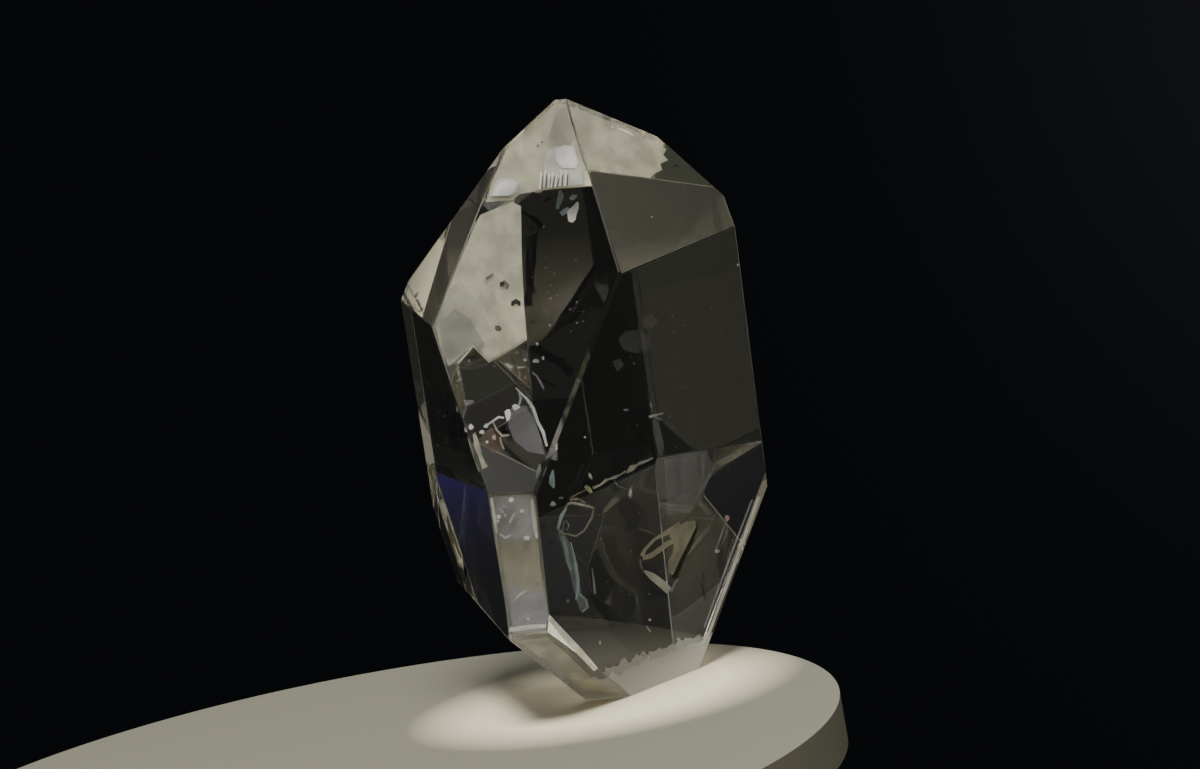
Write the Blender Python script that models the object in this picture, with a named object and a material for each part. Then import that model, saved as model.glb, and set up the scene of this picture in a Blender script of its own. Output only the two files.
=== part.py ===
"""Herkimer diamond: one clear, doubly terminated quartz crystal, about 12 mm tall.

The crystal is the space inside its growth faces. Each face is a plane, given by the side it looks
to and by its distance from the crystal's centre, so those distances are what shapes it. The faces
are laid out with the c axis as +Z and the front side looking along -Y. The crystal is then leaned
forward until the small flat at its lower tip faces straight down, and stands on that.
"""

import math

import bmesh
import bpy
from mathutils import Matrix, Vector

MM = 0.001

# The angle from the c axis to the normal of a face, in degrees. A prism face stands upright, and
# the end faces have the rhombohedral angle of quartz.
PRISM_TILT = 90.0
UPPER_TILT = 51.79
LOWER_TILT = 180.0 - UPPER_TILT

# The compass direction of each of the six sides, in degrees from +X towards +Y.
SIDES = {
    "front_left": -150.0,
    "front": -90.0,
    "front_right": -30.0,
    "back_right": 30.0,
    "back": 90.0,
    "back_left": 150.0,
}

# The distance of each face from the crystal's centre, in millimetres. The front right side has no
# face at the lower end: its prism face runs down to the foot.
PRISM_MM = {
    "front_left": 3.27,
    "front": 4.41,
    "front_right": 2.04,
    "back_right": 3.63,
    "back": 3.72,
    "back_left": 3.30,
}
UPPER_MM = {
    "front_left": 4.16,
    "front": 3.27,
    "front_right": 3.57,
    "back_right": 5.19,
    "back": 4.82,
    "back_left": 4.39,
}
LOWER_MM = {
    "front_left": 4.74,
    "front": 5.64,
    "back_right": 4.50,
    "back": 4.25,
    "back_left": 3.98,
}

# The foot isn't square to the c axis. It looks down and a little to the front, so the crystal leans
# forward on it and its weight bears on the middle of the foot.
FOOT_DIRECTION = -64.0
FOOT_TILT = 169.0
FOOT_MM = 6.01

# How far some faces grew away from their ideal direction, in degrees: round the c axis, then down.
VICINAL_TURN = {
    "prism front_left": (0.5, 0.0),
    "prism front": (-0.5, -2.5),
    "prism back_left": (-0.5, 0.0),
    "upper front_right": (0.5, 2.0),
    "upper back": (0.0, -1.5),
}

# A sliver of a face that cuts the corner below the front edge: direction, tilt and distance.
CORNER_DIRECTION = -42.0
CORNER_TILT = 98.0
CORNER_MM = 3.222

# Every edge but the foot's is worn to a narrow flat. A few edges are worn more than the rest.
EDGE_WIDTH_MM = 0.03
WORN_WIDTH_MM = {
    ("upper front", "prism front_right"): 0.10,
    ("prism front", "prism front_left"): 0.09,
    ("prism front", "lower front"): 0.08,
    ("prism front", "upper front"): 0.06,
}

BLOCK_MM = 30.0
ON_PLANE_MM = 1e-5
SHORTEST_EDGE_MM = 0.002


def direction(compass, tilt):
    """The unit vector at this compass direction and this angle from the c axis, in degrees."""
    compass, tilt = math.radians(compass), math.radians(tilt)
    return Vector(
        (math.cos(compass) * math.sin(tilt), math.sin(compass) * math.sin(tilt), math.cos(tilt))
    )


def growth_faces():
    """Each face's outward normal and its distance from the centre, by name."""
    faces = {}
    for form, tilt, distances in (
        ("prism", PRISM_TILT, PRISM_MM),
        ("upper", UPPER_TILT, UPPER_MM),
        ("lower", LOWER_TILT, LOWER_MM),
    ):
        for side, distance in distances.items():
            name = f"{form} {side}"
            turn, lean = VICINAL_TURN.get(name, (0.0, 0.0))
            faces[name] = (direction(SIDES[side] + turn, tilt + lean), distance)
    faces["corner"] = (direction(CORNER_DIRECTION, CORNER_TILT), CORNER_MM)
    faces["foot"] = (direction(FOOT_DIRECTION, FOOT_TILT), FOOT_MM)
    return faces


def cut(bm, normal, distance):
    """Cuts away all that lies past a plane and closes the solid with one flat face."""
    geometry = bm.verts[:] + bm.edges[:] + bm.faces[:]
    result = bmesh.ops.bisect_plane(
        bm,
        geom=geometry,
        dist=ON_PLANE_MM,
        plane_co=normal * distance,
        plane_no=normal,
        clear_outer=True,
    )
    rim = [item for item in result["geom_cut"] if isinstance(item, bmesh.types.BMEdge)]
    open_rim = [edge for edge in rim if edge.is_boundary]
    if open_rim:
        bmesh.ops.contextual_create(bm, geom=open_rim)
    bm.normal_update()


def nearest_face(faces, normal):
    """The name of the growth face that looks most nearly along this normal."""
    return max(faces, key=lambda name: faces[name][0].dot(normal))


def worn_edges(bm, faces):
    """The planes that flatten the crystal's edges, each as a normal and a distance."""
    planes = []
    for edge in bm.edges:
        first, second = (face.normal.copy() for face in edge.link_faces)
        pair = (nearest_face(faces, first), nearest_face(faces, second))
        if "foot" in pair:
            continue
        width = WORN_WIDTH_MM.get(pair, WORN_WIDTH_MM.get(pair[::-1], EDGE_WIDTH_MM))
        depth = width / 2 * math.tan(first.angle(second) / 2)
        normal = (first + second).normalized()
        planes.append((normal, edge.verts[0].co.dot(normal) - depth))
    return planes


def crystal_mesh():
    """The whole crystal, in metres, on its foot at z = 0 with its box centred on the origin."""
    faces = growth_faces()
    bm = bmesh.new()
    bmesh.ops.create_cube(bm, size=BLOCK_MM)
    for normal, distance in faces.values():
        cut(bm, normal, distance)
    for normal, distance in worn_edges(bm, faces):
        cut(bm, normal, distance)
    bmesh.ops.dissolve_degenerate(bm, dist=SHORTEST_EDGE_MM, edges=bm.edges)
    down = Vector((0.0, 0.0, -1.0))
    bm.transform(faces["foot"][0].rotation_difference(down).to_matrix().to_4x4())
    low = Vector(map(min, zip(*(vert.co for vert in bm.verts))))
    high = Vector(map(max, zip(*(vert.co for vert in bm.verts))))
    centre = (low + high) / 2
    bm.transform(Matrix.Translation((-centre.x, -centre.y, -low.z)))
    bm.transform(Matrix.Scale(MM, 4))
    mesh = bpy.data.meshes.new("crystal")
    bm.to_mesh(mesh)
    bm.free()
    return mesh


def clear_quartz():
    """Colourless, glassy quartz that light passes through."""
    material = bpy.data.materials.new("clear_quartz")
    material.use_nodes = True
    shader = material.node_tree.nodes["Principled BSDF"]
    shader.inputs["Base Color"].default_value = (0.95, 0.95, 0.93, 1.0)
    shader.inputs["Roughness"].default_value = 0.02
    shader.inputs["IOR"].default_value = 1.544
    shader.inputs["Transmission Weight"].default_value = 1.0
    return material


def main():
    for item in list(bpy.data.objects):
        bpy.data.objects.remove(item)
    crystal = bpy.data.objects.new("crystal", crystal_mesh())
    crystal.data.materials.append(clear_quartz())
    bpy.context.scene.collection.objects.link(crystal)


main()
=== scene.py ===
"""The looks of a herkimer diamond: one clear, doubly terminated quartz crystal on a small pale floor.

Lengths are in millimetres and are turned into metres by MM where they are used. Directions are an
azimuth in degrees, counted from the front (-Y) toward the right (+X), and an elevation.
"""

import math
import random

import bpy
from mathutils import Matrix, Vector


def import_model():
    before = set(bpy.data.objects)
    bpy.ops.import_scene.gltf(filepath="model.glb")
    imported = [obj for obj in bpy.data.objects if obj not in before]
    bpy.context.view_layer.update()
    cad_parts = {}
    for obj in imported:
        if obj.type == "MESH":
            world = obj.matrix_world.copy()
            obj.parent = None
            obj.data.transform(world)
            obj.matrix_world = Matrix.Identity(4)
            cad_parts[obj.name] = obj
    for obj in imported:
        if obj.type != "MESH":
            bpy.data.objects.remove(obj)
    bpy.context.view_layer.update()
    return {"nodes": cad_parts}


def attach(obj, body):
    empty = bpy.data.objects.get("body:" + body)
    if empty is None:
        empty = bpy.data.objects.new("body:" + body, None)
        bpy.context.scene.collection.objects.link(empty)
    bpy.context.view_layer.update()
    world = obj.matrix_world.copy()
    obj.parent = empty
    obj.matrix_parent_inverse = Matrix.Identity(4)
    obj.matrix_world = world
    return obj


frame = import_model()

MM = 0.001

# The camera, aimed at a point inside the crystal
CAMERA_TARGET_MM = (0.489, 0.245, 6.358)
CAMERA_AZIMUTH = 15.17
CAMERA_ELEVATION = 7.02
CAMERA_ROLL = 10.13
CAMERA_DISTANCE_MM = 75.13
CAMERA_LENS = 106.07
CAMERA_NEAR_MM = 1.0
CAMERA_FAR_MM = 2000.0

# Light turns inside the crystal many times before it leaves
LIGHT_BOUNCES = 24

# The floor, a round plate whose far edge passes just behind the crystal. Its colour holds a painted
# pool of light, palest round the foot, that fades outward into painted shade
FLOOR_CENTRE_MM = (-4.5, -5.5)
FLOOR_RADIUS_MM = 10.0
FLOOR_DEPTH_MM = 1.0
FLOOR_GAP_MM = 0.01
FLOOR_SIDES = 128
FLOOR_COLOUR = (0.86, 0.80, 0.60)
FLOOR_PAINTED_SHADE_COLOUR = (0.21, 0.205, 0.165)
FLOOR_ROUGHNESS = 0.8
FLOOR_PAINTED_LIGHT_MIDDLE_MM = (-0.2, -1.2)
FLOOR_PAINTED_LIGHT_RADIUS_MM = 2.6
FLOOR_PAINTED_LIGHT_FADE_MM = 1.7

# The lamp over the floor, which the crystal doesn't mirror
LAMP_AZIMUTH = 12.0
LAMP_ELEVATION = 70.0
LAMP_DISTANCE_MM = 100.0
LAMP_SIZE_MM = 42.0
LAMP_WATTS = 0.15
LAMP_COLOUR = (1.0, 0.98, 0.93)

# The dark room around, and the soft lights in it: azimuth, elevation and half width in degrees,
# radiance and colour
ROOM_RADIANCE = (0.0030, 0.0034, 0.0040)
SOFT_LIGHTS = {
    "overhead": (160.0, 78.0, 22.0, 0.42, (1.0, 1.0, 1.12)),
    "behind": (-177.0, 28.0, 5.0, 2.50, (1.0, 0.97, 0.80)),
    "back": (173.0, 36.0, 10.0, 0.95, (1.0, 0.97, 0.77)),
    "left": (-85.0, 25.0, 13.0, 0.68, (1.0, 0.93, 0.95)),
    "left_top": (-75.0, 45.0, 8.0, 0.15, (1.0, 0.92, 0.60)),
    "right": (108.0, 8.0, 15.5, 0.37, (1.0, 0.98, 0.82)),
    "right_front": (47.0, 38.0, 17.0, 0.50, (1.0, 0.95, 0.80)),
    "right_top": (108.0, 57.0, 8.0, 0.18, (1.0, 0.98, 0.85)),
    "right_below": (85.0, -29.0, 9.0, 1.60, (1.0, 0.88, 0.66)),
    "right_low": (80.0, -45.0, 10.0, 1.75, (1.0, 0.98, 0.82)),
    "front_low": (-21.0, -17.0, 23.0, 0.33, (1.0, 1.05, 0.75)),
    "below": (-12.0, -88.0, 20.0, 1.25, (1.0, 0.90, 0.74)),
    "violet": (144.0, 15.5, 1.8, 0.30, (0.10, 0.0, 1.0)),
    "rear": (178.0, -2.0, 7.0, 0.010, (1.0, 1.0, 1.15)),
}

QUARTZ_IOR = 1.544
CLEAR_COLOUR = (1.0, 1.0, 1.0)
CLEAR_ROUGHNESS = 0.0
ABSORPTION_COLOUR = (0.5, 0.5, 0.4, 1.0)
ABSORPTION_PER_MM = 0.04

# The rough skin on the foot and just above it. A noise makes its upper edge jagged: the swing is
# how far the edge wanders, and the ramp is how far the frost takes to fade out there
FROST_TOP_MM = 0.62
FROST_SWING_MM = 0.48
FROST_RAMP_MM = 0.048
FROST_GRAIN_MM = 0.25
FROST_GRAIN_DETAIL = 4.0
FROST_ROUGHNESS = 0.60
FROST_COLOUR = (1.0, 0.95, 0.84)

# Faces that are etched, and one worn edge that is smoother than the others: the direction that
# each looks in, azimuth and elevation, its roughness, and how far off that direction still counts
ETCHED_FACES = {
    "front_low": (-0.7, -7.3, 0.30),
    "front_foot": (-4.9, -47.9, 0.25),
    "foot_bevel": (49.0, -18.2, 0.25),
    "front_edge": (33.5, 10.9, 0.05),
    "back_high": (174.8, 49.4, 0.06),
    "back_left_high": (-113.9, 47.0, 0.06),
    "back_left": (-120.0, 9.2, 0.03),
}
ETCHED_SPREAD = 3.0

# The uneven growth on one of them
RELIEF_FACE = "front_low"
RELIEF_LUMPS_MM = 0.16
RELIEF_DETAIL = 3.0
RELIEF_HEIGHT_MM = 0.012

# The worn edges between the faces, told apart by their small area
WORN_AREA_MM2 = 0.9
WORN_ROUGHNESS = 0.35

# What grew inside, and painted light and shade on thin films near the faces: colour, roughness and
# opacity
INCLUSION_AND_PAINTED_LIGHT_LOOKS = {
    # Painted highlights: white marks that stand in for glints on faces, edges and growth lines
    "glint": ((1.0, 1.0, 0.98), 0.30, 1.00),
    "glint_blue": ((0.62, 0.78, 0.82), 0.40, 0.85),
    "pale": ((0.80, 0.80, 0.74), 0.40, 0.90),
    "veil": ((0.50, 0.60, 0.64), 0.50, 0.55),
    # Painted highlights and painted light: white, beige and lilac films that stand in for light and the
    # pale floor seen through the faces
    "painted_highlight_white": ((1.0, 1.0, 0.97), 0.60, 0.95),
    "painted_highlight_soft": ((1.0, 1.0, 0.96), 0.60, 0.62),
    "painted_light_beige": ((1.0, 0.97, 0.76), 0.60, 0.46),
    "painted_reflection_lilac": ((0.94, 0.91, 1.0), 0.60, 0.54),
    # Painted shade: grey films that darken parts of the faces. The faint look also dims three small spots
    "shade": ((0.50, 0.48, 0.44), 0.60, 0.20),
    "faint": ((0.50, 0.50, 0.52), 0.60, 0.10),
    "haze": ((0.50, 0.50, 0.54), 0.60, 0.28),
    "sandy": ((0.66, 0.64, 0.50), 0.50, 0.70),
    "yellow": ((0.85, 0.86, 0.50), 0.40, 0.95),
    "yellowish": ((0.60, 0.60, 0.42), 0.50, 0.70),
    "rosy": ((0.62, 0.50, 0.44), 0.50, 0.75),
    "rose": ((0.95, 0.62, 0.60), 0.40, 1.00),
    "brown": ((0.30, 0.19, 0.14), 0.60, 0.45),
    # Dark specks, and painted shade in the grooves between the growth lines
    "smoky_specks_and_groove_shade": ((0.10, 0.09, 0.06), 0.60, 0.45),
    "dark": ((0.02, 0.02, 0.015), 0.60, 0.85),
}
PLATE_THICKNESS_MM = 0.02

# Their colour is mottled by a noise: the darkest part's share of the colour, the noise value where
# it is darkest, and how fast it pales above that
MOTTLE_DARKEST = 0.68
MOTTLE_LUMPS_MM = 0.45
MOTTLE_DETAIL = 3.0
MOTTLE_START = 0.38
MOTTLE_SLOPE = 4.0

# Cracks and threads, with strips of painted highlight and painted shadow: look, depth under the
# face, closed or not, and points. A point is mm to the right of the picture's middle, mm above it,
# and the width there
THREADS = {
    "veil": ("veil", 1.2, False, [
        (-0.85, -3.09, 0.11), (-0.72, -3.41, 0.17), (-0.64, -3.73, 0.19), (-0.55, -4.03, 0.15),
        (-0.49, -4.32, 0.15), (-0.45, -4.52, 0.13), (-0.34, -4.77, 0.19),
    ]),
    "veil_left": ("glint_blue", 1.15, False, [
        (-0.79, -3.22, 0.04), (-0.72, -3.47, 0.06), (-0.68, -3.77, 0.06), (-0.62, -3.94, 0.03),
    ]),
    "veil_right": ("glint_blue", 1.1, False, [
        (-0.62, -3.35, 0.02), (-0.55, -3.64, 0.04), (-0.51, -3.84, 0.06), (-0.47, -4.15, 0.07),
        (-0.47, -4.41, 0.06), (-0.51, -4.58, 0.03),
    ]),
    "veil_end": ("glint_blue", 1.1, False, [
        (-0.43, -4.45, 0.03), (-0.30, -4.58, 0.06), (-0.26, -4.73, 0.05), (-0.38, -4.83, 0.04),
    ]),
    "veil_beside": ("veil", 1.3, False, [(-0.17, -3.90, 0.02), (-0.13, -4.20, 0.04), (-0.11, -4.45, 0.05)]),
    "ring": ("sandy", 1.0, True, [
        (-0.68, -2.52, 0.04), (-0.40, -2.56, 0.04), (-0.13, -2.62, 0.04), (-0.17, -2.82, 0.05),
        (-0.34, -3.11, 0.03), (-0.51, -3.22, 0.04), (-0.79, -3.16, 0.03), (-0.89, -3.07, 0.05),
        (-0.83, -2.79, 0.07), (-0.72, -2.62, 0.05),
    ]),
    "ring_top": ("pale", 0.95, False, [(-0.64, -2.50, 0.03), (-0.43, -2.54, 0.05), (-0.15, -2.62, 0.05)]),
    "ring_left": ("glint_blue", 0.95, False, [
        (-0.72, -2.65, 0.03), (-0.81, -2.79, 0.06), (-0.89, -3.05, 0.06),
    ]),
    "ring_inner": ("veil", 0.9, True, [
        (-0.72, -2.88, 0.02), (-0.66, -2.99, 0.03), (-0.70, -3.09, 0.02), (-0.79, -3.07, 0.02),
        (-0.77, -2.94, 0.02),
    ]),
    "ring_above": ("sandy", 1.1, False, [(-0.62, -2.41, 0.03), (-0.49, -2.33, 0.03), (-0.30, -2.24, 0.02)]),
    "ring_cap": ("sandy", 1.05, False, [(-0.64, -2.45, 0.06), (-0.47, -2.43, 0.05), (-0.30, -2.52, 0.03)]),
    "chip_line_low": ("pale", 1.0, False, [
        (-0.15, -2.20, 0.06), (0.00, -2.14, 0.04), (0.13, -2.03, 0.06), (0.19, -2.01, 0.03),
    ]),
    "chip_line_mid": ("pale", 1.0, False, [
        (0.19, -2.01, 0.03), (0.32, -1.97, 0.07), (0.43, -1.92, 0.03), (0.55, -1.84, 0.04),
    ]),
    "chip_line_high": ("pale", 1.0, False, [
        (0.57, -1.88, 0.04), (0.68, -1.77, 0.13), (0.79, -1.71, 0.04), (0.85, -1.67, 0.07),
        (0.98, -1.63, 0.05), (1.13, -1.56, 0.03),
    ]),
    "chip_branch": ("veil", 1.0, False, [(0.30, -2.03, 0.03), (0.38, -2.16, 0.03), (0.55, -2.22, 0.02)]),
    "seam_cap": ("pale", 1.0, False, [(1.04, -0.69, 0.06), (1.17, -0.65, 0.05), (1.34, -0.61, 0.03)]),
    "seam_cap_low": ("veil", 1.0, False, [(1.17, -0.69, 0.06), (1.30, -0.75, 0.04)]),
    "seam": ("haze", 1.05, False, [
        (1.17, -0.75, 0.11), (1.21, -1.01, 0.17), (1.28, -1.26, 0.15), (1.30, -1.54, 0.09),
    ]),
    "seam_top": ("veil", 1.0, False, [(1.06, -0.37, 0.04), (1.10, -0.50, 0.03)]),
    "flake": ("glint_blue", 0.6, False, [
        (-1.00, -1.82, 0.03), (-1.02, -1.97, 0.11), (-1.02, -2.09, 0.13), (-0.98, -2.20, 0.03),
    ]),
    "flake_small": ("pale", 0.8, False, [(-0.23, -1.88, 0.03), (-0.21, -1.94, 0.07), (-0.17, -2.01, 0.03)]),
    "yellow_flake": ("yellow", 0.8, False, [
        (-0.32, -2.16, 0.06), (-0.26, -2.20, 0.09), (-0.21, -2.26, 0.09), (-0.17, -2.31, 0.04),
    ]),
    "fracture_upper": ("sandy", 1.5, False, [
        (1.70, -2.96, 0.11), (1.45, -3.13, 0.11), (1.17, -3.28, 0.06), (0.96, -3.50, 0.07),
        (0.89, -3.64, 0.09),
    ]),
    "fracture_lower": ("sandy", 1.45, False, [
        (0.91, -3.69, 0.09), (1.08, -3.64, 0.11), (1.28, -3.50, 0.11), (1.45, -3.37, 0.11),
        (1.57, -3.33, 0.09),
    ]),
    "fracture_bar": ("pale", 1.5, False, [
        (0.94, -3.96, 0.04), (1.10, -4.07, 0.15), (1.32, -4.24, 0.17), (1.47, -4.39, 0.15),
    ]),
    "fracture_left": ("haze", 1.5, False, [(0.85, -3.69, 0.04), (0.87, -3.86, 0.04), (0.96, -4.01, 0.03)]),
    "fracture_side": ("veil", 1.5, False, [(1.51, -4.41, 0.04), (1.59, -4.22, 0.06), (1.66, -4.13, 0.04)]),
    "fracture_shadow": ("dark", 1.55, False, [
        (2.06, -3.01, 0.06), (1.91, -3.39, 0.09), (1.74, -3.73, 0.11), (1.57, -4.11, 0.13),
    ]),
    "rod": ("veil", 0.7, False, [(2.66, -2.96, 0.03), (2.55, -3.26, 0.04), (2.47, -3.50, 0.03)]),
    "rod_beside": ("haze", 0.7, False, [(2.72, -3.03, 0.02), (2.64, -3.30, 0.03), (2.53, -3.50, 0.02)]),
    "low_line": ("yellowish", 0.8, False, [(0.98, -5.13, 0.04), (1.08, -5.26, 0.03)]),
    "kite_edge": ("pale", 0.5, False, [
        (-1.79, -0.07, 0.02), (-1.70, -0.16, 0.03), (-1.55, -0.31, 0.06), (-1.42, -0.50, 0.07),
        (-1.32, -0.80, 0.06), (-1.21, -1.01, 0.07), (-1.13, -1.31, 0.05),
    ]),
    "kite_edge_inner": ("veil", 0.5, False, [
        (-1.72, -0.14, 0.04), (-1.68, -0.29, 0.06), (-1.72, -0.44, 0.04),
    ]),
    "kite_line": ("pale", 0.5, False, [
        (-2.47, -0.90, 0.04), (-2.34, -0.82, 0.04), (-2.15, -0.69, 0.05), (-2.04, -0.71, 0.04),
    ]),
    "rosy_line": ("rosy", 0.45, False, [
        (-2.27, -0.80, 0.03), (-2.19, -0.97, 0.04), (-2.08, -1.09, 0.06), (-1.93, -1.07, 0.04),
    ]),
    "rosy_line_low": ("rosy", 0.45, False, [
        (-2.12, -1.12, 0.03), (-2.10, -1.24, 0.04), (-2.04, -1.37, 0.03),
    ]),
    "left_ledge": ("sandy", 0.3, False, [
        (-2.76, -1.09, 0.11), (-2.70, -1.33, 0.06), (-2.61, -1.60, 0.09), (-2.53, -1.82, 0.06),
    ]),
    "upper_wave": ("haze", 0.6, False, [
        (-1.45, 0.27, 0.03), (-1.34, 0.18, 0.04), (-1.25, 0.01, 0.05), (-1.19, -0.10, 0.03),
    ]),
    "left_smear": ("haze", 0.6, False, [(-3.02, -0.44, 0.09), (-2.87, -0.41, 0.13), (-2.68, -0.35, 0.06)]),
    "knot_upper": ("glint_blue", 0.8, False, [
        (-0.64, 3.94, 0.06), (-0.57, 3.98, 0.11), (-0.49, 4.01, 0.04),
    ]),
    "knot_side": ("veil", 0.8, False, [
        (-0.85, 4.13, 0.06), (-0.83, 4.01, 0.13), (-0.87, 3.88, 0.11), (-0.91, 3.73, 0.06),
    ]),
    "knot_lower": ("pale", 0.8, False, [
        (-0.47, 3.88, 0.04), (-0.51, 3.77, 0.13), (-0.60, 3.64, 0.21), (-0.60, 3.52, 0.17),
        (-0.62, 3.45, 0.09),
    ]),
    "knot_lower_left": ("veil", 0.85, False, [
        (-0.83, 3.62, 0.09), (-0.74, 3.69, 0.11), (-0.66, 3.75, 0.06),
    ]),
    "edge_wedge": ("sandy", 0.3, False, [(-1.40, 4.09, 0.02), (-1.32, 4.09, 0.05), (-1.23, 4.11, 0.04)]),
    "speck_arc": ("dark", 0.03, False, [
        (-1.87, 1.67, 0.04), (-1.85, 1.73, 0.09), (-1.79, 1.77, 0.11), (-1.72, 1.73, 0.09),
        (-1.70, 1.67, 0.03),
    ]),
    "speck_pair_left": ("dark", 0.03, False, [
        (-2.12, 2.09, 0.04), (-2.08, 2.14, 0.11), (-2.06, 2.18, 0.04),
    ]),
    "speck_pair_right": ("smoky_specks_and_groove_shade", 0.03, False, [
        (-2.06, 2.20, 0.06), (-2.02, 2.16, 0.09), (-1.96, 2.09, 0.09), (-1.98, 2.03, 0.03),
    ]),
    "speck_faint": ("smoky_specks_and_groove_shade", 0.03, False, [(-2.42, 2.24, 0.06), (-2.36, 2.28, 0.07), (-2.27, 2.35, 0.06)]),
    "speck_low": ("smoky_specks_and_groove_shade", 0.03, False, [(-2.23, 1.22, 0.06), (-2.17, 1.20, 0.13), (-2.10, 1.16, 0.06)]),
    # Painted highlights just outside the face over the foot and the low front face
    "foot_stripe": ("glint", -0.03, False, [
        (-1.08, -4.96, 0.09), (-0.72, -5.37, 0.13), (-0.43, -5.68, 0.13), (-0.09, -6.05, 0.09),
    ]),
    "low_edge": ("glint", -0.03, False, [(-1.81, -5.20, 0.09), (-1.49, -5.15, 0.09), (-1.15, -5.13, 0.06)]),
    "low_wisp": ("pale", -0.03, False, [(-1.92, -2.94, 0.04), (-1.87, -2.84, 0.05), (-1.81, -2.73, 0.04)]),
    "low_arc": ("pale", -0.03, False, [(-2.12, -3.18, 0.03), (-2.02, -3.26, 0.04), (-1.89, -3.20, 0.03)]),
    "low_arc_high": ("veil", -0.03, False, [
        (-2.12, -2.65, 0.03), (-2.02, -2.58, 0.04), (-1.93, -2.67, 0.03),
    ]),
    "low_strip_left": ("pale", -0.03, False, [
        (-2.30, -2.41, 0.06), (-2.25, -2.75, 0.06), (-2.19, -3.13, 0.04),
    ]),
    "low_strip_right": ("pale", -0.03, False, [
        (-1.45, -2.45, 0.06), (-1.40, -2.88, 0.09), (-1.34, -3.26, 0.06),
    ]),
    "low_scratch": ("pale", -0.03, False, [
        (-1.83, -4.60, 0.03), (-1.74, -4.49, 0.04), (-1.62, -4.41, 0.03),
    ]),
    "edge_glints": ("glint", 0.04, False, [(0.38, 5.45, 0.02), (0.57, 5.37, 0.06), (0.72, 5.28, 0.02)]),
    "olive_streak": ("yellowish", 0.12, False, [
        (2.10, -1.52, 0.04), (2.12, -1.86, 0.11), (2.08, -2.20, 0.09), (1.96, -2.45, 0.04),
    ]),
    "brown_streak": ("brown", 0.12, False, [(1.62, -1.73, 0.06), (1.70, -2.14, 0.13), (1.66, -2.56, 0.11)]),
    "brown_streak_side": ("brown", 0.12, False, [
        (2.25, -1.56, 0.06), (2.27, -1.82, 0.11), (2.19, -2.11, 0.06),
    ]),
    "right_strip": ("pale", -0.02, False, [
        (3.38, -2.39, 0.05), (3.04, -3.33, 0.06), (2.57, -4.58, 0.06), (2.34, -5.22, 0.05),
        (2.21, -5.56, 0.04),
    ]),
    "right_strip_inner": ("haze", -0.02, False, [
        (3.23, -2.45, 0.03), (2.89, -3.33, 0.03), (2.44, -4.54, 0.03), (2.21, -5.17, 0.03),
    ]),
}

# Growth lines beside each other under the tip, each drawn as a painted highlight line with a painted
# shade line for the groove beside it: the upper and lower end of the highlight line, then those of
# the shaded groove, and both widths at the upper and lower end
STRIATIONS = [
    ((-1.25, 4.52), (-1.28, 4.15), (-1.21, 4.43), (-1.23, 4.15)),
    ((-1.17, 4.56), (-1.19, 4.18), (-1.13, 4.47), (-1.15, 4.18)),
    ((-1.08, 4.49), (-1.10, 4.18), (-1.04, 4.41), (-1.06, 4.18)),
    ((-1.00, 4.52), (-1.04, 4.18), (-0.96, 4.43), (-1.00, 4.18)),
    ((-0.91, 4.47), (-0.96, 4.20), (-0.87, 4.39), (-0.91, 4.20)),
    ((-0.83, 4.54), (-0.85, 4.22), (-0.79, 4.45), (-0.81, 4.22)),
    ((-0.72, 4.56), (-0.74, 4.22), (-0.68, 4.47), (-0.70, 4.22)),
]
STRIATION_HIGHLIGHT_WIDTHS_MM = (0.03, 0.04)
GROOVE_SHADE_WIDTHS_MM = (0.02, 0.03)
STRIATION_DEPTH_MM = 0.01
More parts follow.
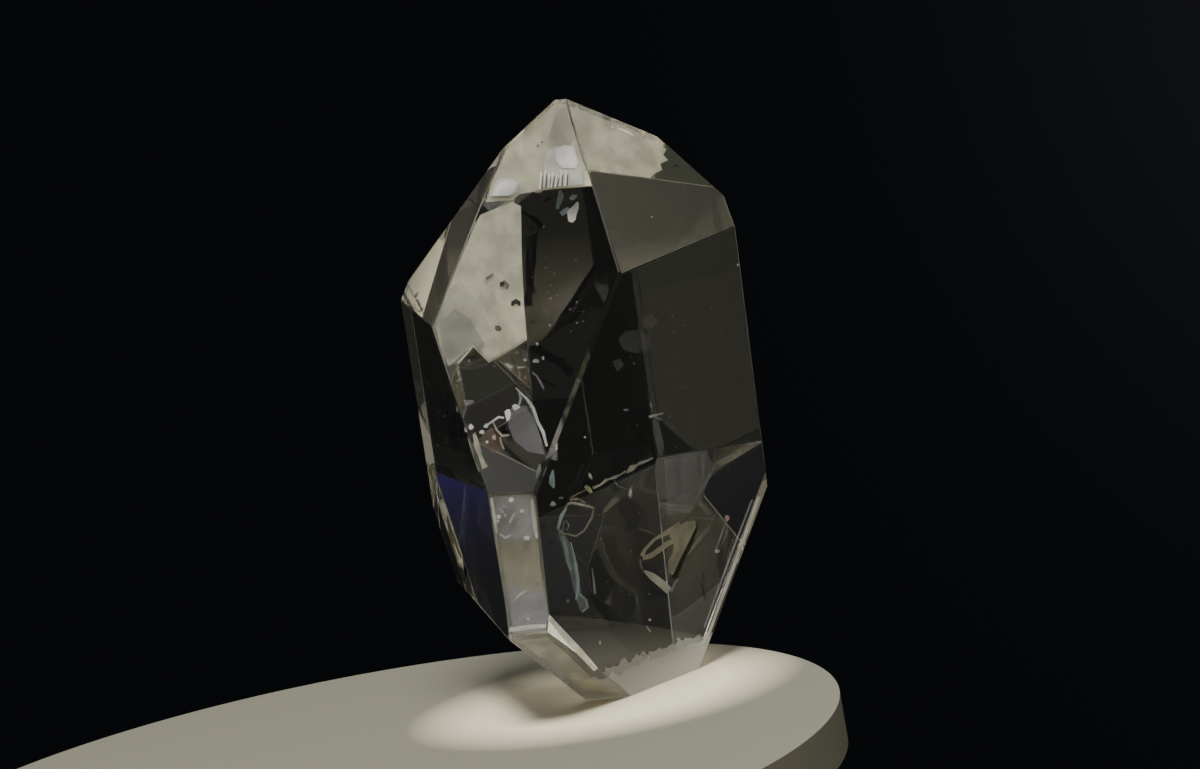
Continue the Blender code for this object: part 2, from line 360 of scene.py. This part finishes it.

# Flat patches, among them painted highlights, painted light and painted shade: look, depth and the
# outline's points
PATCHES = {
    "fracture": ("sandy", 1.5, [
        (2.02, -2.88), (1.85, -2.90), (1.55, -3.07), (1.47, -3.22), (1.57, -3.37), (1.55, -3.58),
        (1.45, -3.75), (1.45, -3.98), (1.55, -4.05), (1.72, -3.67), (1.91, -3.30), (2.04, -3.03),
    ]),
    "rosy_patch": ("brown", 0.6, [
        (-2.51, -1.05), (-2.30, -0.92), (-2.10, -1.16), (-2.02, -1.39), (-2.27, -1.46),
        (-2.49, -1.33),
    ]),
    "lilac_patch": ("haze", 0.7, [
        (-1.89, -0.50), (-1.59, -0.44), (-1.40, -0.71), (-1.25, -1.14), (-1.17, -1.50),
        (-1.53, -1.43), (-1.83, -1.18), (-1.96, -0.84),
    ]),
    # Painted highlights under the tip
    "white_patch": ("painted_highlight_soft", 0.05, [
        (-1.08, 4.98), (-0.94, 5.05), (-0.72, 5.07), (-0.55, 5.07), (-0.43, 4.62), (-0.36, 4.26),
        (-0.72, 4.22), (-0.96, 4.20), (-1.15, 4.39), (-1.19, 4.69),
    ]),
    "white_corner": ("painted_highlight_soft", 0.05, [
        (-2.34, 4.01), (-2.19, 4.35), (-1.98, 4.39), (-1.70, 4.35), (-1.74, 4.11), (-1.87, 4.01),
    ]),
    # Painted light: beige films that stand in for the pale floor seen through the tip and the front face
    "upper_right_painted_light": ("painted_light_beige", 0.1, [
        (-0.66, 5.92), (0.00, 5.68), (0.64, 5.41), (1.19, 5.15), (1.42, 5.00), (1.34, 4.88),
        (1.45, 4.77), (1.28, 4.69), (1.32, 4.56), (1.17, 4.49), (1.06, 4.39), (0.45, 4.47),
        (-0.28, 4.56), (-0.49, 5.30),
    ]),
    "upper_front_painted_light": ("painted_light_beige", 0.1, [
        (-1.00, 5.94), (-0.85, 6.02), (-0.70, 5.96), (-0.53, 5.30), (-0.32, 4.60), (-0.32, 4.20),
        (-0.81, 4.18), (-1.30, 4.11), (-1.70, 4.05), (-1.85, 3.92), (-2.42, 3.88), (-2.30, 4.30),
        (-2.00, 4.98), (-1.49, 5.51),
    ]),
    "front_left_painted_light": ("painted_light_beige", 0.1, [
        (-2.55, 3.60), (-1.87, 3.88), (-1.68, 3.79), (-1.66, 2.65), (-1.62, 1.80), (-1.55, 0.95),
        (-2.00, 0.65), (-2.36, 0.46), (-2.72, 0.82), (-3.02, 0.56), (-3.21, 0.39), (-3.40, 0.84),
        (-3.49, 1.26), (-3.27, 1.97), (-2.91, 2.90),
    ]),
    # Whiter painted highlight cores in the two highlights under the tip
    "white_core": ("painted_highlight_white", 0.02, [
        (-0.94, 5.00), (-0.74, 5.09), (-0.57, 5.05), (-0.47, 4.73), (-0.49, 4.60), (-0.81, 4.60),
        (-0.94, 4.77),
    ]),
    "white_corner_core": ("painted_highlight_white", 0.02, [
        (-2.30, 4.01), (-2.17, 4.26), (-1.96, 4.35), (-1.76, 4.28), (-1.83, 4.09), (-1.96, 4.01),
    ]),
    # Painted reflections on the low front face, lilac, beige and lilac zones from top to bottom
    "front_low_painted_reflection": ("painted_reflection_lilac", 0.06, [
        (-2.27, -2.37), (-1.45, -2.37), (-1.38, -2.88), (-1.32, -3.30), (-1.70, -3.37),
        (-2.12, -3.33), (-2.23, -2.88),
    ]),
    "front_low_beige": ("painted_light_beige", 0.06, [
        (-2.12, -3.33), (-1.70, -3.37), (-1.32, -3.30), (-1.19, -4.43), (-1.53, -4.39),
        (-1.85, -4.28), (-2.06, -4.26),
    ]),
    "front_low_lilac": ("painted_reflection_lilac", 0.06, [
        (-2.06, -4.26), (-1.85, -4.28), (-1.53, -4.39), (-1.19, -4.43), (-1.13, -5.13),
        (-1.87, -5.17), (-1.96, -4.79),
    ]),
    # A painted highlight on the face over the foot
    "front_foot_painted_highlight": ("painted_highlight_soft", 0.03, [
        (-1.74, -5.45), (-1.10, -5.37), (-0.64, -5.79), (-0.17, -6.24), (0.51, -6.60),
        (-0.21, -6.60), (-0.85, -6.11),
    ]),
    "dim_spot": ("faint", 0.6, [
        (0.38, 0.95), (0.55, 1.14), (0.85, 1.16), (1.06, 0.99), (1.02, 0.73), (0.77, 0.65),
        (0.51, 0.73),
    ]),
    "dim_spot_high": ("faint", 0.6, [(0.89, 1.41), (1.10, 1.50), (1.23, 1.33), (1.06, 1.16), (0.91, 1.22)]),
    "dim_spot_low": ("faint", 0.6, [(0.26, 0.48), (0.43, 0.56), (0.51, 0.39), (0.36, 0.27)]),
    "beige_wedge": ("haze", 0.1, [
        (1.36, -1.58), (1.91, -1.48), (2.27, -1.46), (2.47, -1.77), (2.19, -2.24), (1.91, -2.73),
        (1.45, -2.77),
    ]),
    # Painted shade over the front face's lower left, in two steps
    "front_left_shade": ("faint", 0.04, [
        (-3.46, 1.30), (-3.30, 1.84), (-3.00, 2.25), (-2.62, 1.80), (-2.20, 0.95), (-2.52, 0.66),
        (-2.72, 0.86), (-3.02, 0.60), (-3.21, 0.45), (-3.38, 0.86),
    ]),
    "front_left_shade_low": ("faint", 0.03, [
        (-3.42, 1.28), (-3.10, 1.62), (-2.76, 1.40), (-2.44, 0.84), (-2.56, 0.72), (-2.72, 0.86),
        (-3.02, 0.60), (-3.21, 0.45), (-3.36, 0.84),
    ]),
    "apex_shade": ("shade", 0.03, [
        (-0.91, 5.92), (-0.74, 5.88), (-0.55, 5.24), (-0.62, 5.11), (-0.94, 5.07), (-1.08, 4.98),
        (-1.15, 5.15), (-1.02, 5.51),
    ]),
    # A painted highlight on the front face's lower left
    "front_left_bright": ("painted_light_beige", 0.05, [
        (-2.68, 0.90), (-2.34, 1.12), (-1.66, 1.33), (-1.59, 0.99), (-2.00, 0.69), (-2.36, 0.52),
    ]),
}

# Grains, some of them painted highlights: look, depth, middle, and width and height
GRAINS = {
    "glint": ("glint", 0.4, (-1.96, -0.64), (0.13, 0.26)),
    "glint_side": ("pale", 0.4, (-1.79, -0.48), (0.17, 0.13)),
    "left_glint": ("glint", 0.3, (-2.74, -0.90), (0.11, 0.13)),
    "line_grain": ("pale", 0.4, (-2.42, -0.88), (0.09, 0.09)),
    "green_grain": ("pale", 0.4, (-2.51, -1.01), (0.11, 0.09)),
    "rosy_grain": ("rosy", 0.4, (-2.25, -1.12), (0.09, 0.11)),
    "low_grain": ("pale", 0.4, (-2.40, -1.22), (0.06, 0.06)),
    "bead": ("rose", 0.65, (2.70, -2.84), (0.10, 0.15)),
    "bead_low": ("pale", 0.65, (2.49, -3.54), (0.11, 0.09)),
    "grey_grain": ("pale", 0.7, (-1.00, -2.54), (0.13, 0.11)),
    "grain_a": ("veil", 0.7, (-0.83, -2.41), (0.11, 0.05)),
    "grain_b": ("veil", 0.8, (-0.68, -4.60), (0.07, 0.09)),
    "grain_c": ("pale", 0.5, (0.00, -5.49), (0.06, 0.09)),
    "grain_d": ("pale", 0.5, (1.06, -5.00), (0.07, 0.06)),
    "grain_e": ("veil", 0.9, (0.55, -0.54), (0.13, 0.05)),
    "grain_f": ("pale", 0.9, (-0.32, -1.12), (0.05, 0.05)),
    "pale_pair_a": ("veil", 0.5, (-1.36, 0.50), (0.15, 0.09)),
    "pale_pair_b": ("veil", 0.5, (-1.21, 0.56), (0.06, 0.09)),
    "pale_pair_c": ("veil", 0.5, (-1.59, 0.52), (0.09, 0.09)),
    "upper_grain": ("veil", 0.5, (-1.34, 0.86), (0.06, 0.09)),
    "rect_grain": ("veil", 0.6, (-1.06, 1.26), (0.06, 0.06)),
    "dark_tip": ("smoky_specks_and_groove_shade", 0.03, (-1.23, 5.15), (0.06, 0.06)),
    "dark_tip_low": ("smoky_specks_and_groove_shade", 0.03, (-1.32, 5.07), (0.07, 0.05)),
    "olive_grain": ("veil", 0.5, (-2.78, 0.50), (0.06, 0.09)),
    "olive_grain_b": ("veil", 0.5, (-2.25, 0.39), (0.06, 0.05)),
    "corner_glint": ("pale", 0.4, (2.93, 2.54), (0.06, 0.06)),
    "right_grain": ("veil", 0.5, (1.34, -2.79), (0.05, 0.05)),
    # Painted highlights on and just outside the low front face
    "low_spot": ("glint", -0.03, (-1.87, -5.20), (0.13, 0.11)),
    "low_glint_a": ("glint", -0.03, (-1.89, -2.45), (0.11, 0.09)),
    "low_glint_b": ("glint", -0.03, (-1.66, -2.69), (0.09, 0.07)),
    "low_glint_c": ("glint", -0.03, (-1.55, -3.26), (0.13, 0.09)),
    "low_glint_d": ("glint", -0.03, (-2.15, -2.81), (0.09, 0.09)),
    "low_glint_e": ("pale", -0.03, (-2.02, -2.78), (0.06, 0.06)),
    "low_glint_f": ("glint", -0.03, (-2.17, -2.90), (0.06, 0.06)),
    "low_glint_g": ("pale", -0.03, (-2.06, -2.71), (0.05, 0.04)),
    "low_glint_h": ("pale", -0.03, (-1.77, -4.54), (0.07, 0.04)),
    "low_glint_i": ("glint", -0.03, (-1.53, -4.98), (0.05, 0.04)),
    "low_glint_j": ("pale", -0.03, (-1.36, -4.66), (0.05, 0.03)),
    "low_glint_k": ("pale", -0.03, (-1.96, -4.75), (0.04, 0.04)),
    "ridge_glint": ("glint", 0.04, (0.26, 5.47), (0.06, 0.04)),
    "dot_right": ("veil", 0.5, (1.10, 3.56), (0.05, 0.05)),
    "dark_edge_spot": ("dark", 0.05, (1.62, 4.64), (0.13, 0.06)),
}
GRAIN_SIDES = 7
GRAIN_UNEVENNESS = 0.18
GRAIN_BUMPS = 3

# Fine specks strewn under the faces: how many, and the span to the right and up of the picture's
# middle
DUST = {
    "right_face": (60, (0.53, 2.80), (-2.00, 1.70)),
    "right_face_low": (45, (-0.80, 2.00), (-4.60, -2.50)),
    "front_face": (22, (-1.45, -0.30), (1.00, 3.60)),
    "left_face": (16, (-3.45, -2.85), (-2.20, 0.10)),
}
DUST_SEED = 7
DUST_SIZE_MM = (0.02, 0.045)
DUST_DEPTH_MM = (0.05, 0.5)
DUST_TURN = (0.0, 6.0)
DUST_LOOK = "haze"


def link(obj):
    bpy.context.scene.collection.objects.link(obj)
    return obj


def direction(azimuth, elevation):
    """The unit vector toward an azimuth and an elevation."""
    a = math.radians(azimuth)
    e = math.radians(elevation)
    return Vector((math.sin(a) * math.cos(e), -math.cos(a) * math.cos(e), math.sin(e)))


def camera():
    back = direction(CAMERA_AZIMUTH, CAMERA_ELEVATION)
    level = Vector((0.0, 0.0, 1.0)).cross(back).normalized()
    upright = back.cross(level)
    roll = math.radians(CAMERA_ROLL)
    right = level * math.cos(roll) - upright * math.sin(roll)
    up = back.cross(right)
    obj = link(bpy.data.objects.new("camera", bpy.data.cameras.new("camera")))
    turn = Matrix((right, up, back)).transposed().to_4x4()
    place = Vector(CAMERA_TARGET_MM) * MM + back * CAMERA_DISTANCE_MM * MM
    obj.matrix_world = Matrix.Translation(place) @ turn
    obj.data.lens = CAMERA_LENS
    obj.data.clip_start = CAMERA_NEAR_MM * MM
    obj.data.clip_end = CAMERA_FAR_MM * MM
    bpy.context.scene.camera = obj


def light_path():
    cycles = bpy.context.scene.cycles
    cycles.max_bounces = LIGHT_BOUNCES
    cycles.glossy_bounces = LIGHT_BOUNCES
    cycles.transmission_bounces = LIGHT_BOUNCES


def new_material(name):
    """A material with nodes: (material, node tree, Principled shader)."""
    material = bpy.data.materials.new(name)
    material.use_nodes = True
    tree = material.node_tree
    return material, tree, tree.nodes["Principled BSDF"]


def object_place(tree):
    """The place on the piece, in its own metres."""
    return tree.nodes.new("ShaderNodeTexCoord").outputs["Object"]


def maths(tree, operation, *values):
    """The result of a maths node. Each value is a socket or a number."""
    node = tree.nodes.new("ShaderNodeMath")
    node.operation = operation
    for socket, value in zip(node.inputs, values):
        if isinstance(value, bpy.types.NodeSocket):
            tree.links.new(value, socket)
        else:
            socket.default_value = value
    return node.outputs["Value"]


def blend(tree, factor, first, second):
    """A colour that goes from first to second as factor goes from 0 to 1."""
    mix = tree.nodes.new("ShaderNodeMix")
    mix.data_type = "RGBA"
    mix.inputs["A"].default_value = (*first, 1.0)
    mix.inputs["B"].default_value = (*second, 1.0)
    tree.links.new(factor, mix.inputs["Factor"])
    return mix.outputs["Result"]


def noise(tree, where, grain_mm, detail):
    """A noise texture's value, about 0.5 on average, with lumps grain_mm across."""
    node = tree.nodes.new("ShaderNodeTexNoise")
    node.inputs["Scale"].default_value = 1.0 / (grain_mm * MM)
    node.inputs["Detail"].default_value = detail
    tree.links.new(where, node.inputs["Vector"])
    return node.outputs["Fac"]


def floor_colour_with_painted_light(tree):
    """A painted pool of light, pale round the crystal's foot, fading into painted shade outward."""
    away = tree.nodes.new("ShaderNodeVectorMath")
    away.operation = "DISTANCE"
    away.inputs[1].default_value = [x * MM for x in FLOOR_PAINTED_LIGHT_MIDDLE_MM] + [0.0]
    tree.links.new(object_place(tree), away.inputs[0])
    # The painted pool of light fades into painted shade beyond its radius
    beyond = maths(tree, "SUBTRACT", away.outputs["Value"], FLOOR_PAINTED_LIGHT_RADIUS_MM * MM)
    fade = maths(tree, "DIVIDE", beyond, FLOOR_PAINTED_LIGHT_FADE_MM * MM)
    return blend(tree, fade, FLOOR_COLOUR, FLOOR_PAINTED_SHADE_COLOUR)


def prism_faces(sides):
    """The faces of a prism whose points are one end's ring, then the other's."""
    faces = [tuple(range(sides)), tuple(range(2 * sides - 1, sides - 1, -1))]
    for i in range(sides):
        after = (i + 1) % sides
        faces.append((i, i + sides, after + sides, after))
    return faces


def floor():
    mesh = bpy.data.meshes.new("floor")
    turns = [2 * math.pi * i / FLOOR_SIDES for i in range(FLOOR_SIDES)]
    ring = [(math.cos(a), math.sin(a)) for a in turns]
    cx, cy = FLOOR_CENTRE_MM
    top = -FLOOR_GAP_MM
    points = []
    for height in (top, top - FLOOR_DEPTH_MM):
        points += [
            ((cx + x * FLOOR_RADIUS_MM) * MM, (cy + y * FLOOR_RADIUS_MM) * MM, height * MM)
            for x, y in ring
        ]
    mesh.from_pydata(points, [], prism_faces(FLOOR_SIDES))
    obj = link(bpy.data.objects.new("floor", mesh))
    material, tree, shader = new_material("floor")
    tree.links.new(floor_colour_with_painted_light(tree), shader.inputs["Base Color"])
    shader.inputs["Roughness"].default_value = FLOOR_ROUGHNESS
    mesh.materials.append(material)


def lamp():
    data = bpy.data.lights.new("floor_lamp", "AREA")
    data.shape = "DISK"
    data.size = LAMP_SIZE_MM * MM
    data.energy = LAMP_WATTS
    data.color = LAMP_COLOUR
    obj = link(bpy.data.objects.new("floor_lamp", data))
    toward = direction(LAMP_AZIMUTH, LAMP_ELEVATION)
    obj.location = toward * LAMP_DISTANCE_MM * MM
    obj.rotation_euler = toward.to_track_quat("Z", "Y").to_euler()
    obj.visible_glossy = False


def soft_light(tree, where, azimuth, elevation, half_width, radiance, colour):
    """A round glow in the room, at half its radiance half_width degrees from its middle."""
    along = tree.nodes.new("ShaderNodeVectorMath")
    along.operation = "DOT_PRODUCT"
    along.inputs[1].default_value = direction(azimuth, elevation)
    tree.links.new(where, along.inputs[0])
    sharpness = math.log(2.0) / (1.0 - math.cos(math.radians(half_width)))
    off_middle = maths(tree, "SUBTRACT", along.outputs["Value"], 1.0)
    falloff = maths(tree, "MULTIPLY", off_middle, sharpness)
    glow = tree.nodes.new("ShaderNodeVectorMath")
    glow.operation = "SCALE"
    glow.inputs[0].default_value = [radiance * part for part in colour]
    tree.links.new(maths(tree, "EXPONENT", falloff), glow.inputs["Scale"])
    return glow.outputs["Vector"]


def world():
    """The dark room and the sum of its soft lights."""
    room = bpy.data.worlds.new("room")
    room.use_nodes = True
    bpy.context.scene.world = room
    tree = room.node_tree
    where = tree.nodes.new("ShaderNodeTexCoord").outputs["Generated"]
    light = None
    for settings in SOFT_LIGHTS.values():
        more = tree.nodes.new("ShaderNodeVectorMath")
        more.operation = "ADD"
        tree.links.new(soft_light(tree, where, *settings), more.inputs[0])
        if light:
            tree.links.new(light, more.inputs[1])
        else:
            more.inputs[1].default_value = ROOM_RADIANCE
        light = more.outputs["Vector"]
    tree.links.new(light, tree.nodes["Background"].inputs["Color"])


def frost(tree, where):
    """1 on the rough skin at the foot and 0 above it, with a jagged edge."""
    axes = tree.nodes.new("ShaderNodeSeparateXYZ")
    tree.links.new(where, axes.inputs["Vector"])
    ragged = maths(tree, "SUBTRACT", noise(tree, where, FROST_GRAIN_MM, FROST_GRAIN_DETAIL), 0.5)
    shift = maths(tree, "MULTIPLY", ragged, FROST_SWING_MM * MM)
    height = maths(tree, "ADD", axes.outputs["Z"], shift)
    below = maths(tree, "SUBTRACT", FROST_TOP_MM * MM, height)
    ramp = maths(tree, "DIVIDE", below, FROST_RAMP_MM * MM)
    return maths(tree, "MINIMUM", maths(tree, "MAXIMUM", ramp, 0.0), 1.0)


def quartz(name, roughness):
    """Clear quartz whose surface is this rough above the frosted foot."""
    material, tree, shader = new_material(name)
    shader.inputs["Transmission Weight"].default_value = 1.0
    shader.inputs["IOR"].default_value = QUARTZ_IOR
    frosted = frost(tree, object_place(tree))
    rougher = maths(tree, "MULTIPLY", frosted, FROST_ROUGHNESS - roughness)
    tree.links.new(maths(tree, "ADD", rougher, roughness), shader.inputs["Roughness"])
    tree.links.new(blend(tree, frosted, CLEAR_COLOUR, FROST_COLOUR), shader.inputs["Base Color"])
    absorption = tree.nodes.new("ShaderNodeVolumeAbsorption")
    absorption.inputs["Color"].default_value = ABSORPTION_COLOUR
    absorption.inputs["Density"].default_value = ABSORPTION_PER_MM / MM
    tree.links.new(absorption.outputs["Volume"], tree.nodes["Material Output"].inputs["Volume"])
    return material


def relief(material):
    """Uneven growth on a face."""
    tree = material.node_tree
    bump = tree.nodes.new("ShaderNodeBump")
    bump.inputs["Distance"].default_value = RELIEF_HEIGHT_MM * MM
    lumps = noise(tree, object_place(tree), RELIEF_LUMPS_MM, RELIEF_DETAIL)
    tree.links.new(lumps, bump.inputs["Height"])
    tree.links.new(bump.outputs["Normal"], tree.nodes["Principled BSDF"].inputs["Normal"])


def worn_polygons(mesh):
    """The polygons whose plane holds only a little area."""
    planes = {}
    for polygon in mesh.polygons:
        key = tuple(round(part, 2) for part in polygon.normal)
        planes.setdefault(key, []).append(polygon)
    worn = []
    for plane in planes.values():
        if sum(polygon.area for polygon in plane) < WORN_AREA_MM2 * MM * MM:
            worn += plane
    return worn


def crystal():
    """The solid's own mesh: clear faces, worn edges and etched faces."""
    mesh = frame["nodes"]["crystal"].data
    mesh.materials.clear()
    mesh.materials.append(quartz("clear_quartz", CLEAR_ROUGHNESS))
    mesh.materials.append(quartz("worn_quartz", WORN_ROUGHNESS))
    for polygon in worn_polygons(mesh):
        polygon.material_index = 1
    same = math.cos(math.radians(ETCHED_SPREAD))
    for index, (name, face) in enumerate(ETCHED_FACES.items(), start=2):
        azimuth, elevation, roughness = face
        mesh.materials.append(quartz("etched_quartz_" + name, roughness))
        if name == RELIEF_FACE:
            relief(mesh.materials[index])
        outward = direction(azimuth, elevation)
        for polygon in mesh.polygons:
            if polygon.normal.dot(outward) > same:
                polygon.material_index = index


def view_ray(x, y):
    """The camera's place, and its direction to x mm right of and y mm above the picture's middle."""
    stand = bpy.context.scene.camera.matrix_world
    spot = stand @ Vector((x * MM, y * MM, -CAMERA_DISTANCE_MM * MM))
    return stand.translation, (spot - stand.translation).normalized()


def inside(x, y, depth):
    """The point depth mm under the face, along the bent ray that the camera sees at x and y.

    A depth below zero is a point just outside the face.
    """
    start, ray = view_ray(x, y)
    _, place, normal, _ = frame["nodes"]["crystal"].ray_cast(start, ray)
    bend = 1.0 / QUARTZ_IOR
    facing = -ray.dot(normal)
    sideways = math.sqrt(1.0 - bend * bend * (1.0 - facing * facing))
    bent = ray * bend + normal * (bend * facing - sideways)
    return place + bent * depth * MM


def plate(outline, depth):
    """The points and faces of a thin plate inside the crystal, with this outline in the picture."""
    points = [inside(x, y, depth + d) for d in (0.0, PLATE_THICKNESS_MM) for x, y in outline]
    return points, prism_faces(len(outline))


def thread(points, depth, closed):
    """Thin plates in a row along points of x, y and width."""
    sides = []
    n = len(points)
    for i, (x, y, width) in enumerate(points):
        before = points[(i - 1) % n] if closed else points[max(i - 1, 0)]
        after = points[(i + 1) % n] if closed else points[min(i + 1, n - 1)]
        along = Vector((after[0] - before[0], after[1] - before[1])).normalized()
        half = Vector((-along.y, along.x)) * width / 2
        sides.append(((x + half.x, y + half.y), (x - half.x, y - half.y)))
    if closed:
        sides.append(sides[0])
    return [plate((a[0], b[0], b[1], a[1]), depth) for a, b in zip(sides, sides[1:])]


def stroke(top, low, widths):
    """One plate from an upper to a lower end, with the widths there."""
    return thread([(*top, widths[0]), (*low, widths[1])], STRIATION_DEPTH_MM, False)


def grain(middle, size, depth, turn):
    """A small uneven plate."""
    outline = []
    for i in range(GRAIN_SIDES):
        a = 2 * math.pi * i / GRAIN_SIDES
        reach = 0.5 * (1.0 + GRAIN_UNEVENNESS * math.sin(GRAIN_BUMPS * a + turn))
        across = middle[0] + size[0] * reach * math.cos(a)
        up = middle[1] + size[1] * reach * math.sin(a)
        outline.append((across, up))
    return plate(outline, depth)


def dust():
    """Small specks at random places, the same ones each time."""
    chance = random.Random(DUST_SEED)
    specks = []
    for count, across, up in DUST.values():
        for _ in range(count):
            middle = (chance.uniform(*across), chance.uniform(*up))
            size = chance.uniform(*DUST_SIZE_MM)
            depth = chance.uniform(*DUST_DEPTH_MM)
            specks.append(grain(middle, (size, size), depth, chance.uniform(*DUST_TURN)))
    return specks


def inclusion_and_painted_light_material(look):
    """A film of a look, for what grew inside and for painted light and shade, its colour mottled."""
    colour, roughness, opacity = INCLUSION_AND_PAINTED_LIGHT_LOOKS[look]
    material, tree, shader = new_material("inclusion_" + look)
    lumps = noise(tree, object_place(tree), MOTTLE_LUMPS_MM, MOTTLE_DETAIL)
    paler = maths(tree, "MULTIPLY", maths(tree, "SUBTRACT", lumps, MOTTLE_START), MOTTLE_SLOPE)
    darkest = [MOTTLE_DARKEST * part for part in colour]
    tree.links.new(blend(tree, paler, darkest, colour), shader.inputs["Base Color"])
    shader.inputs["Roughness"].default_value = roughness
    shader.inputs["Alpha"].default_value = opacity
    return material


def inclusion_and_painted_light_plates():
    """For each look, the plates that have it."""
    plates = {look: [] for look in INCLUSION_AND_PAINTED_LIGHT_LOOKS}
    for look, depth, closed, points in THREADS.values():
        plates[look] += thread(points, depth, closed)
    # Each growth line is a painted highlight line and a painted shade groove
    for highlight_top, highlight_low, groove_shade_top, groove_shade_low in STRIATIONS:
        plates["glint"] += stroke(highlight_top, highlight_low, STRIATION_HIGHLIGHT_WIDTHS_MM)
        plates["smoky_specks_and_groove_shade"] += stroke(groove_shade_top, groove_shade_low, GROOVE_SHADE_WIDTHS_MM)
    for look, depth, outline in PATCHES.values():
        plates[look].append(plate(outline, depth))
    for turn, (look, depth, middle, size) in enumerate(GRAINS.values()):
        plates[look].append(grain(middle, size, depth, turn))
    plates[DUST_LOOK] += dust()
    return plates


def inclusions_and_painted_light():
    """One piece for each look, made of all its plates."""
    for look, plates in inclusion_and_painted_light_plates().items():
        points = []
        faces = []
        for some_points, some_faces in plates:
            faces += [tuple(len(points) + i for i in face) for face in some_faces]
            points += some_points
        mesh = bpy.data.meshes.new("inclusions_" + look)
        mesh.from_pydata(points, [], faces)
        mesh.materials.append(inclusion_and_painted_light_material(look))
        piece = link(bpy.data.objects.new("inclusions_" + look, mesh))
        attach(piece, "root")


camera()
light_path()
world()
lamp()
floor()
crystal()
inclusions_and_painted_light()
